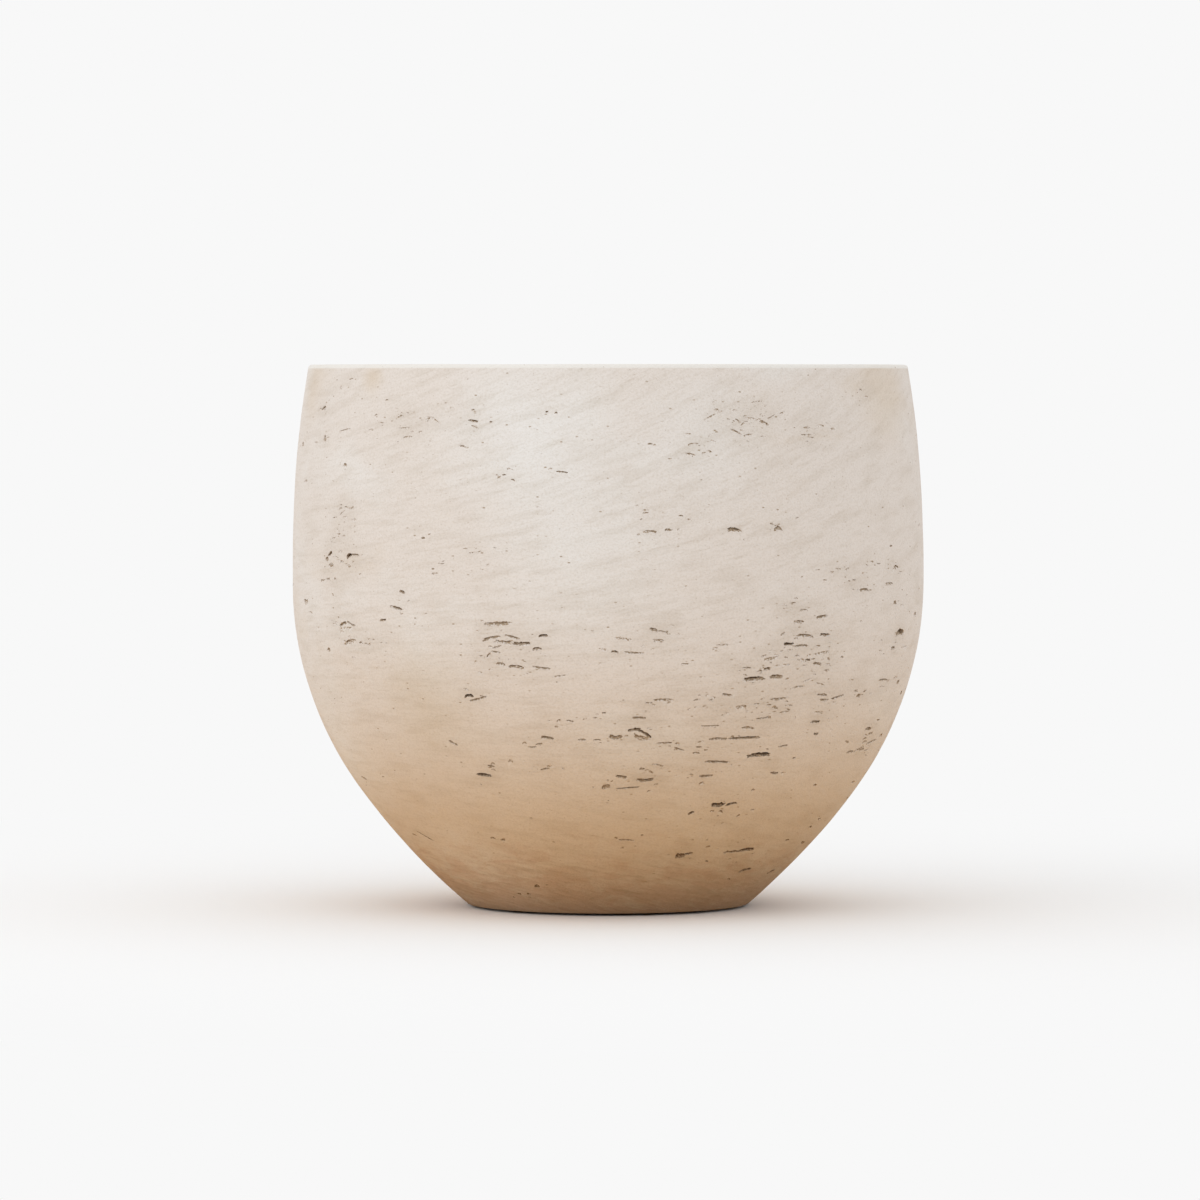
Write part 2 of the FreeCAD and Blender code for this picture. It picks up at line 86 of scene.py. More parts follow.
# Pits on the side that faces the camera, as they lie in the photograph: the middle
# (x, y), the length and the height in its pixels, the rise to the right in degrees and the depth
# in half millimetres.
FRONT_PITS = [
    # Left shoulder: small upright nicks and a faint band of scratches.
    (341, 388, 2, 4, 0, 0.8), (324, 408, 5, 3, 35, 1.4), (325, 439, 3, 8, 0, 1.6),
    (303, 445, 3, 7, 0, 1.2), (345, 465, 3, 5, 0, 1.4), (306, 481, 3, 3, 0, 1.2),
    (376, 415, 3, 2, 20, 0.8), (382, 423, 4, 2, 0, 0.8), (387, 400, 3, 2, 0, 0.7),
    (345, 430, 12, 2, 15, 0.6), (400, 417, 8, 2, 15, 0.5), (405, 428, 9, 2, 5, 0.5),
    (429, 419, 6, 2, 60, 0.7), (435, 420, 11, 2, -38, 0.6), (408, 437, 9, 2, 5, 0.5),
    (473, 421, 10, 3, -8, 1.6), (475, 427, 8, 2, -20, 0.7), (462, 446, 5, 2, -10, 1.2),
    (504, 475, 4, 2, 0, 1.3), (513, 480, 4, 2, -20, 1.2), (499, 478, 3, 2, 0, 0.8),
    (562, 472, 12, 2, -6, 1.3), (423, 538, 4, 3, 0, 1.3), (471, 553, 5, 2, 10, 0.9),
    (479, 552, 5, 2, 20, 0.8), (341, 508, 3, 2, 0, 1.0), (346, 507, 3, 2, 0, 0.9),
    (341, 514, 2, 2, 0, 0.9), (339, 534, 3, 2, 0, 0.8), (344, 536, 3, 2, 0, 1.0),
    # Left belly: one deep pair and the crescent under it.
    (330, 554, 6, 4, 45, 2.4), (327, 559, 3, 6, 0, 1.8), (331, 566, 5, 5, 0, 1.2),
    (349, 556, 6, 6, 30, 2.8), (355, 555, 8, 3, 0, 1.5),
    (342, 562, 4, 3, 0, 1.0), (349, 566, 4, 3, 0, 1.0), (442, 564, 4, 2, 0, 0.9),
    (433, 569, 3, 2, 0, 0.8), (328, 579, 4, 3, 0, 1.3), (335, 579, 3, 3, 0, 1.0),
    (402, 592, 6, 4, -20, 2.0), (396, 608, 12, 4, -14, 2.2), (383, 620, 6, 3, 8, 1.8),
    (306, 602, 4, 7, 0, 1.2), (343, 624, 8, 4, 25, 2.0), (350, 642, 13, 5, 20, 1.2),
    (351, 624, 9, 3, -22, 1.6), (348, 628, 9, 3, 0, 0.6),
    (361, 643, 4, 3, 0, 1.3), (366, 644, 3, 3, 0, 1.0), (329, 650, 3, 5, 10, 1.2),
    # Middle left: the torn cluster and the deep drop below it.
    (497, 624, 25, 5, 4, 1.4), (492, 638, 16, 4, 12, 1.6), (503, 642, 15, 4, -4, 1.6),
    (512, 637, 15, 3, -16, 1.6), (521, 644, 17, 5, 2, 2.2), (543, 636, 9, 4, 4, 2.6),
    (537, 649, 9, 4, 8, 2.0), (496, 652, 9, 2, -8, 1.2), (497, 647, 9, 2, 20, 1.0),
    (489, 655, 6, 3, 45, 1.0), (481, 656, 4, 2, 10, 1.0), (486, 640, 7, 3, 20, 1.3),
    (501, 664, 8, 4, -15, 1.6), (516, 667, 16, 4, -3, 1.6), (541, 668, 17, 3, -5, 1.3),
    (560, 676, 11, 2, 8, 0.7), (469, 696, 9, 4, 5, 3.2), (478, 699, 17, 3, 16, 1.3),
    (453, 743, 9, 3, -28, 1.5), (547, 738, 12, 4, -6, 1.8), (533, 747, 7, 2, 4, 1.0),
    (539, 744, 7, 2, 10, 0.9), (582, 740, 8, 2, 0, 1.2), (597, 740, 7, 2, 0, 1.0),
    (570, 721, 7, 2, -12, 1.0), (604, 713, 4, 2, 0, 1.2), (595, 718, 4, 2, 0, 0.8),
    (491, 766, 7, 2, -10, 1.3), (484, 775, 14, 4, -4, 3.2), (545, 769, 9, 2, 12, 0.9),
    # Middle: a row of dashes across the shoulder and strokes under it.
    (650, 444, 5, 2, 0, 1.1), (690, 454, 9, 2, -10, 0.8), (693, 444, 10, 2, 8, 0.6),
    (751, 419, 13, 3, -8, 0.5), (764, 423, 10, 4, -28, 1.0), (736, 432, 12, 3, -28, 0.8),
    (748, 435, 9, 2, 10, 0.8), (771, 417, 8, 2, 25, 0.8), (782, 413, 6, 2, 20, 0.7),
    (806, 435, 11, 2, 0, 0.6), (820, 426, 8, 3, 0, 0.6), (860, 390, 3, 3, 0, 0.8),
    (738, 421, 6, 2, -40, 0.7), (744, 423, 8, 2, 32, 0.7), (756, 402, 11, 2, 10, 0.5),
    (710, 417, 13, 2, 28, 0.5), (720, 412, 6, 2, 25, 0.5), (713, 441, 6, 2, -20, 0.5),
    (688, 434, 6, 2, 0, 0.5), (704, 453, 5, 2, 10, 0.5), (805, 428, 6, 2, -10, 0.5),
    (866, 397, 4, 3, 0, 0.6), (646, 513, 6, 2, 0, 1.1), (650, 532, 13, 4, -4, 1.2),
    (668, 530, 6, 3, 0, 1.4), (734, 530, 14, 5, -6, 1.8), (778, 529, 8, 5, 0, 1.7),
    (681, 516, 5, 2, -5, 0.9), (654, 630, 9, 4, -20, 1.5), (663, 632, 11, 2, -12, 1.0),
    (659, 641, 9, 4, 0, 1.0), (622, 639, 14, 3, -10, 0.7), (615, 652, 7, 3, -10, 1.4),
    (634, 653, 19, 3, -4, 1.1), (723, 645, 13, 2, 0, 0.7), (685, 664, 8, 2, 0, 0.9),
    # Right belly: the large broken cluster.
    (793, 603, 6, 2, 0, 0.8), (804, 610, 8, 2, -6, 0.8), (799, 622, 10, 4, -5, 1.3),
    (822, 617, 11, 4, 10, 1.6), (805, 636, 17, 4, -4, 1.4), (825, 635, 10, 4, -4, 2.0),
    (789, 644, 10, 4, 0, 3.2), (801, 646, 14, 3, 2, 1.4), (822, 653, 15, 3, 10, 1.0),
    (808, 660, 5, 3, 0, 1.6), (817, 664, 8, 4, -8, 1.4), (771, 659, 15, 4, 10, 0.8),
    (783, 634, 5, 3, 30, 1.0), (747, 668, 9, 2, 0, 1.1), (767, 669, 6, 4, 10, 2.2),
    (760, 671, 5, 2, 0, 1.2), (754, 679, 21, 5, 2, 2.2), (776, 677, 13, 5, 2, 1.8),
    (798, 687, 13, 2, 8, 0.7), (663, 700, 19, 3, 0, 1.1), (649, 703, 7, 2, 0, 0.9),
    (696, 700, 5, 2, 10, 0.9), (711, 700, 5, 2, 0, 1.0), (727, 695, 10, 3, -10, 1.4),
    (778, 699, 15, 3, 3, 1.2), (741, 707, 10, 4, 10, 1.0), (757, 704, 6, 2, 0, 0.8),
    (769, 705, 5, 2, 0, 0.9), (822, 695, 10, 3, -6, 1.3), (824, 700, 9, 3, 0, 1.0),
    (838, 697, 13, 3, 16, 1.5), (858, 696, 4, 4, 0, 1.3), (856, 691, 4, 3, 0, 0.9),
    (865, 691, 4, 2, 20, 0.9), (883, 680, 9, 3, 0, 1.2), (900, 633, 9, 7, 4, 3.4),
    (893, 648, 4, 4, 0, 1.8), (895, 603, 3, 5, -10, 1.6), (915, 614, 3, 4, 0, 1.2),
    (864, 590, 9, 4, 0, 1.5), (889, 584, 8, 4, 0, 1.1), (854, 580, 4, 2, 0, 1.0),
    (825, 580, 4, 2, 0, 0.8), (896, 567, 5, 4, 0, 1.4), (838, 569, 6, 2, 0, 0.7),
    (898, 682, 3, 5, 0, 1.2), (901, 693, 3, 5, 0, 1.4), (764, 656, 6, 2, 20, 0.7),
    (785, 665, 6, 2, 0, 0.5), (797, 656, 5, 2, 0, 0.9), (790, 650, 5, 2, 0, 0.8),
    (782, 651, 4, 2, 20, 0.7), (818, 646, 5, 2, 0, 0.7), (828, 664, 4, 2, 0, 0.7),
    (813, 659, 4, 2, 10, 0.9), (801, 660, 8, 2, -5, 0.6), (808, 680, 9, 2, 22, 0.6),
    (820, 684, 9, 2, -15, 0.6), (851, 680, 5, 2, 0, 0.5), (818, 712, 7, 2, 0, 0.5),
    (784, 712, 9, 2, 8, 0.6), (775, 708, 6, 3, -10, 0.7), (872, 562, 3, 3, 0, 0.7),
    # Right flank: the largest pit, the long dashes and a slanting, broken scratch.
    (639, 718, 13, 3, 0, 1.4), (634, 730, 13, 4, 8, 2.4), (616, 737, 13, 5, 2, 1.9),
    (645, 734, 15, 4, -32, 2.4), (642, 738, 16, 6, -12, 0.9),
    (664, 743, 15, 2, 2, 1.1), (679, 749, 10, 2, -18, 1.0), (710, 726, 17, 2, 0, 0.9),
    (748, 728, 13, 3, -5, 1.0), (763, 718, 13, 2, 6, 1.2), (718, 739, 18, 3, 0, 1.3),
    (745, 738, 31, 3, 1, 1.7), (759, 755, 22, 5, 3, 3.6), (717, 762, 25, 3, -2, 1.4),
    (699, 747, 6, 2, 0, 1.0), (696, 753, 7, 2, 0, 0.8), (783, 746, 9, 2, 8, 1.0),
    (815, 722, 9, 3, -4, 2.0), (816, 734, 5, 3, 0, 1.6), (868, 729, 6, 4, 0, 1.4),
    (881, 735, 3, 3, 0, 1.2), (850, 752, 7, 3, 5, 1.3), (859, 749, 9, 3, 25, 1.0),
    (871, 742, 11, 3, 22, 1.2), (866, 750, 4, 2, 20, 0.6), (774, 773, 8, 3, -5, 1.4),
    (706, 776, 14, 3, 2, 1.3), (621, 777, 10, 4, -10, 1.7), (645, 780, 17, 4, 0, 1.8),
    (658, 765, 11, 2, -15, 0.9), (642, 769, 5, 3, 0, 0.9),
    # Lower wall, down to the foot.
    (606, 787, 9, 5, 20, 1.0), (628, 788, 23, 2, 4, 1.3), (718, 805, 14, 5, 2, 3.4),
    (731, 804, 11, 3, 14, 2.6), (691, 813, 6, 3, 30, 2.8), (712, 811, 4, 2, 0, 0.9),
    (746, 850, 16, 4, 4, 2.6), (626, 840, 15, 2, -2, 0.9), (688, 854, 9, 3, 14, 2.0),
    (680, 856, 9, 6, 4, 1.6), (745, 870, 11, 3, 14, 2.6), (772, 871, 4, 3, 20, 2.0),
    (425, 836, 15, 2, -38, 0.8), (503, 840, 5, 2, 0, 0.8), (731, 852, 15, 3, 2, 1.2),
    (529, 894, 4, 2, 0, 0.8), (787, 840, 4, 2, 0, 1.0), (364, 778, 5, 3, -20, 1.0),
]

# Single small holes between the clusters: their middles (x, y), and the length, height, rise and depth
# that they share.
SINGLE_HOLES = [
    (473, 410), (491, 422), (547, 412), (556, 413), (891, 546), (919, 525), (919, 589), (842, 657),
    (878, 720), (794, 758), (753, 790), (815, 785), (853, 782), (847, 798), (819, 819), (810, 827),
]
SINGLE_HOLE_SIZE = (3, 2.5, 0, 1.3)

# Crumbs of pits, drawn at random beside each front pit: how many, how far off (across, up), their
# length, height over length, tilt and depth, in the same units.
CRUMB_COUNTS = (0, 1, 1, 2, 3, 4)
CRUMB_SPREAD = (7, 4)
CRUMB_LENGTHS = (1.5, 5)
CRUMB_SLIMNESS = (0.35, 0.7)
CRUMB_TILT = 15
CRUMB_DEPTHS = (0.3, 0.8)

PIT_DEPTH_UNIT = 0.5 * MM
PIT_SHARPNESS = 0.85  # share of a pit's height in the photograph that isn't blur
LARGE_PIT, MIDDLE_PIT = 65, 12  # areas in square pixels, past which a pit gets a finer mesh

# Stains, a dusty patch, and lighter patches in the lime tint that are painted light (a painted highlight high
# on the front, painted light on the lower left): the middle and the reach in metres, the strength, and the
# tint by its name in ShellSettings.
STAINS_AND_PAINTED_LIGHT = [
    ((0.168, -0.085, 0.318), 0.045, 0.35, "ochre"),
    ((-0.178, -0.050, 0.322), 0.035, 0.3, "ochre"),
    ((-0.141, -0.121, 0.326), 0.015, 0.4, "ochre"),
    # Painted highlight: lighter patches high on the front, where the light falls brightest.
    ((-0.045, -0.182, 0.283), 0.085, 0.7, "lime"),
    ((0.050, -0.183, 0.287), 0.055, 0.4, "lime"),
    ((-0.015, -0.194, 0.212), 0.090, 0.4, "lime"),
    # Painted light: lighter patches on the lower left, the side from which the light comes.
    ((-0.165, -0.060, 0.105), 0.065, 0.55, "lime"),
    ((-0.072, -0.072, 0.033), 0.065, 0.6, "lime"),
    ((-0.110, -0.149, 0.135), 0.055, 0.25, "foot"),
]


def linear(colour_hex):
    """Scene-linear red, green and blue of an sRGB hex value."""
    channels = (int(colour_hex[i:i + 2], 16) / 255 for i in (1, 3, 5))
    return tuple(c / 12.92 if c <= 0.04045 else ((c + 0.055) / 1.055) ** 2.4 for c in channels)


def length(name, description, default):
    """Property for a length in metres."""
    return FloatProperty(
        name=name, description=description, default=default, unit="LENGTH", subtype="DISTANCE", precision=4
    )


def angle(name, description, default):
    """Property for an angle, its default in degrees."""
    return FloatProperty(
        name=name, description=description, default=math.radians(default), unit="ROTATION", subtype="ANGLE"
    )


def colour(name, description, default):
    """Property for a colour, its default an sRGB hex value."""
    return FloatVectorProperty(
        name=name, description=description, default=linear(default), size=3, min=0, max=1, subtype="COLOR"
    )


class ShellSettings(bpy.types.PropertyGroup):
    """Sizes and colours of the cast shell; its height and widest ring come from the frame."""

    belly_height: length("Belly height", "Underside up to the widest ring", 0.212)
    rim_inset: length("Rim inset", "How far the rim stands in from the widest ring", 0.0102)
    base_diameter: length("Base diameter", "Underside, out to its corner", 0.174)
    base_lean: angle("Base lean", "Wall at the underside, over a straight line up to the flank's top", 20.3)
    flank_top: length("Flank top", "Height at which the wall begins to turn under", 0.193)
    flank_bottom: length("Flank bottom", "Height at which the flank runs into the flatter foot", 0.070)
    wall: length("Wall", "Thickness of the wall", 0.010)
    floor: length("Floor", "Thickness of the floor", 0.014)
    rim_edge: length("Rim edge", "Radius of both edges of the rim", 0.0022)
    base_edge: length("Base edge", "Radius of the corner between wall and underside", 0.0012)
    floor_corner: length("Floor corner", "Radius of the inside corner at the floor", 0.018)
    drain_diameter: length("Drain diameter", "Drain hole where it opens in the floor", 0.025)
    drain_draft: angle("Drain draft", "Taper of the drain hole's side", 4)
    outer_row: length("Outer rows", "Spacing of the mesh's rows on the outer wall", 0.0045)
    inner_row: length("Inner rows", "Spacing of the mesh's rows inside", 0.008)
    rim_row: length("Rim rows", "Spacing of the mesh's rows on the flat of the rim", 0.003)
    segments: IntProperty(name="Segments", description="Mesh columns round the shell", default=208, min=32)
    sharp_edge: angle("Sharp edge", "Edges that turn by more than this are shaded sharp", 32)
    pit_seed: IntProperty(
        name="Pit seed", description="Starts the draw of the crumbs, and of the pits at the back", default=11
    )
    outer_wobble: length("Outer wobble", "Unevenness of the hand-finished outer face", 0.0004)
    inner_wobble: length("Inner wobble", "Unevenness of the hand-laid inner face", 0.0012)
    wash: colour("Wash", "Lime wash over cement", "#E4DBD3")
    # Also the tint of the patches of painted highlight and painted light in the stain list.
    lime: colour("Lime", "Thick patches of the wash", "#ECEAE7")
    brush_shade: colour("Brush shade", "Tint of the thin wash between brush strokes", "#E6E1D9")
    ochre: colour("Ochre", "Rusty stains in the wash", "#D2BC9E")
    # Part dust and part painted shade: the wash is darker and warmer towards the bottom, as where the warm
    # floor's bounce and shade fall.
    foot: colour("Foot", "Dust that tints the wash at the foot", "#C3AC83")
    foot_smudge: colour("Foot smudge", "Rosy smudges in the dust", "#EDDACF")
    foot_reach: length("Foot reach", "How far up the dust reaches", 0.17)
    # Part thick wash and part painted light: the rim's top is lighter, as where light falls from above.
    rim_lime_and_light: colour("Rim lime", "Wash that lies thickest along the rim", "#ECE9E3")
    raw_cement: colour("Raw cement", "Unwashed cement inside", "#C6BDB2")
    pit_cement: colour("Pit cement", "Bare cement in the pits", "#B09C85")
    # Part grime and part painted shade: the deep pits and the air holes are darker, as where shade falls in
    # them.
    pit_dirt_and_shade: colour("Pit dirt", "Bottom of the deep pits", "#6E5B48")


class PlugSettings(bpy.types.PropertyGroup):
    """Colours of the drain plug."""

    rubber: colour("Rubber", "Moulded rubber", "#2C2B2A")
    dust: colour("Dust", "Cement dust on the rubber", "#6B655E")


class PadSettings(bpy.types.PropertyGroup):
    """Edges and colour of the foot pads; their size comes from the frame."""

    edge: length("Edge", "Rounding of the pad's edges", 0.0005)
    sides: IntProperty(name="Sides", description="Mesh columns round a pad", default=64, min=12)
    sharp_edge: angle("Sharp edge", "Edges that turn by more than this are shaded sharp", 50)
    foam: colour("Foam", "Closed-cell foam rubber", "#33302D")


class StageSettings(bpy.types.PropertyGroup):
    """Camera, lights and floor."""

    camera_distance: length("Camera distance", "From the planter's axis", 4.1)
    camera_height: length("Camera height", "Above the floor", 0.326)
    aim_across: length("Aim across", "Middle of the view, right of the planter's axis", -0.005)
    aim_height: length("Aim height", "Middle of the view, above the floor", 0.189)
    view_width: length("View width", "Width of the view at the planter's axis", 0.7425)
    backdrop: colour("Backdrop", "What the camera sees behind the planter", "#F8F8F8")
    bounce: colour("Bounce", "Warm tone that the floor under the planter throws back on it", "#E3B468")
    far_bounce: colour("Far bounce", "Tone that the floor further off throws back", "#E8E8E8")
    bounce_reach: length("Bounce reach", "How far the warm tone reaches from the planter's axis", 0.32)
    shadow_shift: length("Shadow shift", "How far right of the axis the floor is darkest", 0.025)
    shadow_core: length("Shadow core", "Radius within which the floor throws back least", 0.09)
    shadow_edge: length("Shadow edge", "Radius past which the floor throws back all", 0.18)
    shadow_share: FloatProperty(
        name="Shadow share", description="What the floor throws back in the shadow's core", default=0.61,
        min=0, max=1, subtype="FACTOR",
    )
    floor_reach: length("Floor reach", "Half the width of the floor", 12)
    softbox_place: FloatVectorProperty(
        name="Softbox place", description="Middle of the key light", default=(-2.3, -2.0, 1.2),
        unit="LENGTH", subtype="TRANSLATION",
    )
    softbox_aim: length("Softbox aim", "Height on the planter's axis that the key light faces", 0.2)
    softbox_size: length("Softbox size", "Width of the key light", 2.2)
    softbox_power: FloatProperty(
        name="Softbox power", description="Power of the key light", default=13, unit="POWER"
    )
    even_light: FloatProperty(
        name="Even light", description="Strength of the white light from all round", default=0.97
    )


def add_node(tree, kind, inputs=None, **settings):
    """Adds a shader node: settings are its own, inputs are values or the sockets to link from."""
    made = tree.nodes.new("ShaderNode" + kind)
    for name, value in settings.items():
        setattr(made, name, value)
    for key, value in (inputs or {}).items():
        if isinstance(value, bpy.types.NodeSocket):
            tree.links.new(value, made.inputs[key])
        else:
            made.inputs[key].default_value = value
    return made


def new_material(name):
    """Node material without a surface yet, its tree, and the place on the piece in metres."""
    material = bpy.data.materials.new(name)
    material.use_nodes = True
    tree = material.node_tree
    tree.nodes.clear()
    return material, tree, add_node(tree, "TexCoord").outputs["Object"]


def new_piece(name, bm, *materials):
    """Object at the origin from a bmesh, which is freed."""
    mesh = bpy.data.meshes.new(name)
    bm.to_mesh(mesh)
    bm.free()
    for material in materials:
        mesh.materials.append(material)
    piece = bpy.data.objects.new(name, mesh)
    bpy.context.scene.collection.objects.link(piece)
    return piece


def rgba(rgb):
    """Colour with full alpha."""
    return (*rgb, 1)


# Geometry of the shell


def tangent_centre(start, outward, other):
    """Centre of the circle through start and other whose outward normal at start is given."""
    chord = other - start
    return start + outward * (chord.length_squared / (2 * chord.dot(outward)))


def outward_normal(lean):
    """Outward direction of a wall that leans in towards its foot by this angle."""
    return Vector((math.cos(lean), -math.sin(lean)))


def wall_layout(shell):
    """Where the outer face's three arcs meet, from the foot up, and the arcs' centres (radius, height)."""
    belly = Vector((BELLY_RADIUS, shell.belly_height))
    rim = Vector((BELLY_RADIUS - shell.rim_inset, RIM_TOP - UNDERSIDE))
    corner = Vector((shell.base_diameter / 2, 0))
    wall_centre = tangent_centre(belly, Vector((1, 0)), rim)
    wall_radius = belly.x - wall_centre.x
    top_lean = math.asin((belly.y - shell.flank_top) / wall_radius)
    flank_top = wall_centre + outward_normal(top_lean) * wall_radius

    chord = corner - flank_top
    base_lean = math.atan2(-chord.x, -chord.y) + shell.base_lean
    half_turn = (base_lean - top_lean) / 2
    meeting_radius = chord.length / (2 * math.sin(half_turn))
    across = Vector((chord.y, -chord.x)).normalized()
    meeting_centre = (flank_top + corner) / 2 + across * (meeting_radius * math.cos(half_turn))
    rise = shell.flank_bottom - meeting_centre.y
    flank_bottom = Vector((meeting_centre.x + math.sqrt(meeting_radius ** 2 - rise ** 2), shell.flank_bottom))

    flank_centre = tangent_centre(flank_top, outward_normal(top_lean), flank_bottom)
    foot_centre = tangent_centre(corner, outward_normal(base_lean), flank_bottom)
    return (corner, flank_bottom, flank_top, rim), (foot_centre, flank_centre, wall_centre)


def arc(centre, start, end, spacing):
    """Points along the arc about centre from start to end, both included."""
    first = math.atan2(start.y - centre.y, start.x - centre.x)
    turn = math.atan2(end.y - centre.y, end.x - centre.x) - first
    radius = (start - centre).length
    steps = max(2, round(radius * abs(turn) / spacing))
    return [
        centre + radius * Vector((math.cos(first + turn * i / steps), math.sin(first + turn * i / steps)))
        for i in range(steps + 1)
    ]


def straight(start, end, spacing):
    """Points along a straight run from start to end, both included."""
    steps = max(1, round((end - start).length / spacing))
    return [start.lerp(end, i / steps) for i in range(steps + 1)]


def fillet(before, after, radius, steps):
    """Joins two runs that meet at a corner, with the corner rounded."""
    corner = before[-1]
    into = (corner - before[-2]).normalized()
    out = (after[1] - corner).normalized()
    turn = into.angle(out)
    reach = radius * math.tan(turn / 2)
    side = (out - into * out.dot(into)).normalized()
    centre = corner - into * reach + side * radius
    bend = [
        centre + radius * (into * math.sin(turn * i / steps) - side * math.cos(turn * i / steps))
        for i in range(steps + 1)
    ]
    clear = 1.3 * reach  # points nearer to the corner would crowd the bend
    return (
        [p for p in before if (p - corner).length > clear] + bend
        + [p for p in after if (p - corner).length > clear]
    )


def shell_section(shell):
    """Closed half section of the shell, with heights above the underside."""
    (corner, flank_bottom, flank_top, rim), (foot_c, flank_c, wall_c) = wall_layout(shell)

    def level(centre, outer, height):
        radius = (outer - centre).length - shell.wall
        return Vector((centre.x + math.sqrt(radius ** 2 - (height - centre.y) ** 2), height))

    def inward(place, centre):
        return place + (centre - place).normalized() * shell.wall

    outer = arc(foot_c, corner, flank_bottom, shell.outer_row)
    outer += arc(flank_c, flank_bottom, flank_top, shell.outer_row)[1:]
    outer += arc(wall_c, flank_top, rim, shell.outer_row)[1:]
    inner_rim = level(wall_c, rim, rim.y)
    floor_edge = level(foot_c, corner, shell.floor)
    inner = arc(wall_c, inner_rim, inward(flank_top, wall_c), shell.inner_row)
    inner += arc(flank_c, inner[-1], inward(flank_bottom, flank_c), shell.inner_row)[1:]
    inner += arc(foot_c, inner[-1], floor_edge, shell.inner_row)[1:]
    drain_top = Vector((shell.drain_diameter / 2, shell.floor))
    drain_bottom = Vector((drain_top.x - shell.floor * math.tan(shell.drain_draft), 0))

    path = fillet(straight(drain_bottom, corner, shell.inner_row), outer, shell.base_edge, steps=3)
    path = fillet(path, straight(rim, inner_rim, shell.rim_row), shell.rim_edge, steps=4)
    path = fillet(path, inner, shell.rim_edge, steps=4)
    path = fillet(path, straight(floor_edge, drain_top, shell.inner_row), shell.floor_corner, steps=5)
    return path + straight(drain_top, drain_bottom, shell.inner_row)[1:-1]


def smooth_step(value, low, high):
    """0 below low and 1 above high, with a soft change between."""
    part = min(max((value - low) / (high - low), 0), 1)
    return part * part * (3 - 2 * part)


def is_raw(face):
    """True for faces of the inner wall, the floor, the drain hole and the underside."""
    middle = face.calc_center_median()
    outwards = face.normal.x * middle.x + face.normal.y * middle.y
    is_level = abs(face.normal.z) > 0.9
    return middle.z < RIM_TOP - LIP and (outwards < 0 or is_level)


def unevenness(place, broad, fine, share):
    """Noise about 0 in bumps of a broad width, with a share of finer ones on them."""
    return noise.noise(place / broad) + share * noise.noise(place / fine)


def roughen(bm, shell):
    """Moves each vertex along its normal, a little outside and more inside, and leaves the seats flat."""
    plug_seat = 0.022, 0.045  # radii on the floor between which the unevenness sets in
    base_seat = 0.001, 0.020  # heights above the underside, likewise
    inner_rim = 0.040  # depth below the rim from which the inner wall is as uneven as it gets
    outer_rim, rim_share = 0.020, 0.35  # the same outside, and what is left of it at the rim
    hand_laid = 0.045, 0.014, 0.45  # widths of the broad and the fine bumps, and the fine ones' share
    hand_finished = 0.070, 0.020, 0.35
    moves = []
    for vert in bm.verts:
        radius = math.hypot(vert.co.x, vert.co.y)
        height = vert.co.z - UNDERSIDE
        below_rim = RIM_TOP - vert.co.z
        if height > shell.floor / 2 and all(face.material_index == RAW for face in vert.link_faces):
            fade = smooth_step(radius, *plug_seat) * smooth_step(below_rim, 0, inner_rim)
            amount = shell.inner_wobble * unevenness(vert.co, *hand_laid) * fade
        else:
            rim_fade = rim_share + (1 - rim_share) * smooth_step(below_rim, 0, outer_rim)
            fade = smooth_step(height, *base_seat) * rim_fade
            amount = shell.outer_wobble * unevenness(vert.co, *hand_finished) * fade
        moves.append(vert.normal * amount)
    for vert, move in zip(bm.verts, moves):
        vert.co += move


def turned_shell(shell):
    """Bmesh of the shell before its pits: its section spun round the axis, uneven, faces sorted."""
    bm = bmesh.new()
    section = [bm.verts.new((p.x, 0, p.y + UNDERSIDE)) for p in shell_section(shell)]
    edges = [bm.edges.new(pair) for pair in zip(section, section[1:] + section[:1])]
    bmesh.ops.spin(
        bm, geom=section + edges, cent=(0, 0, 0), axis=UP, angle=math.tau,
        steps=shell.segments, use_merge=True, use_duplicate=False,
    )
    bmesh.ops.remove_doubles(bm, verts=bm.verts, dist=1e-6)
    bmesh.ops.recalc_face_normals(bm, faces=bm.faces)
    bm.normal_update()
    for face in bm.faces:
        face.smooth = True
        face.material_index = RAW if is_raw(face) else WASHED
    roughen(bm, shell)
    return bm


# Pits


def camera_ray(stage, x, y):
    """Camera's place, and the direction in which it sees a pixel of the photograph."""
    place = Vector((stage.aim_across, -stage.camera_distance, stage.camera_height))
    forward = Vector((stage.aim_across, 0, stage.aim_height)) - place
    right = forward.cross(UP).normalized()
    up = right.cross(forward).normalized()
    pixel = stage.view_width / PHOTO_PIXELS
    middle = PHOTO_PIXELS / 2
    return place, (forward + right * (x - middle) * pixel + up * (middle - y) * pixel).normalized()


Cutter = namedtuple("Cutter", "mesh place reach")


